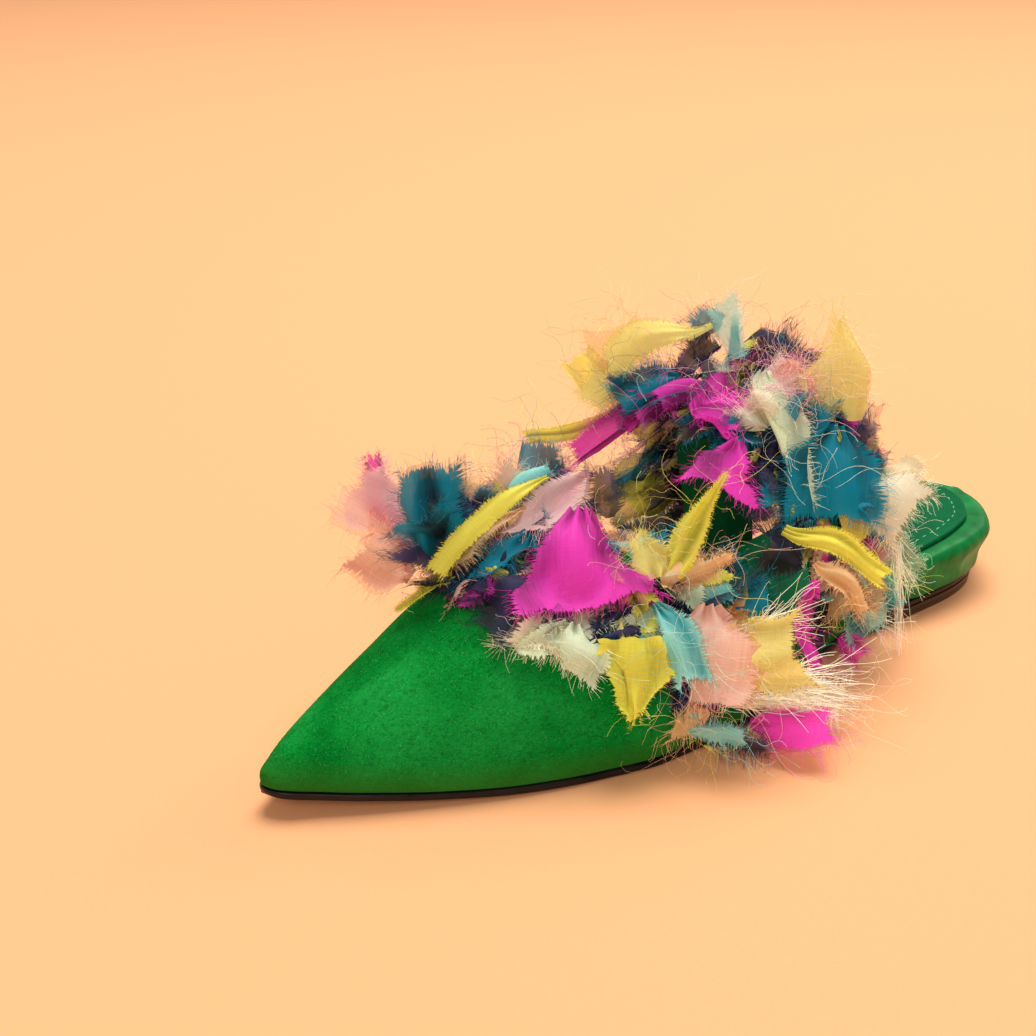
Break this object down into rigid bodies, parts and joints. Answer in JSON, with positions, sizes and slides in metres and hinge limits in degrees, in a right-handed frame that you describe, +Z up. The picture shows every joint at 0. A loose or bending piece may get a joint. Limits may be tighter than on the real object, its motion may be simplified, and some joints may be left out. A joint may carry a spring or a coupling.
{
  "type": "sandal",
  "caption": "Pointed flat sandal for the left foot: a suede vamp and an instep strap trimmed with frayed cloth scraps, on a low wedge footbed.",
  "frame": {"origin": "middle of the bounding box at floor height", "axes": "+Z up; -Y towards the toe, +Y towards the heel; +X towards the outer side of the left foot"},
  "size_m": [0.121, 0.2727, 0.1056],
  "materials": {
    "outsole": "black waxed edge",
    "heel": "brown stained stack",
    "footbed": "soft satin wrap",
    "insole": "matte",
    "suede": "napped suede",
    "cloth_scraps": "frayed chiffon and organza in many colours"
  },
  "bodies": {
    "root": {"outsole": "outsole", "heel": "heel", "footbed": "footbed", "insole": "insole", "vamp": "suede", "instep_strap": "suede", "vamp_trim": "cloth_scraps", "strap_trim": "cloth_scraps"}
  },
  "joints": []
}
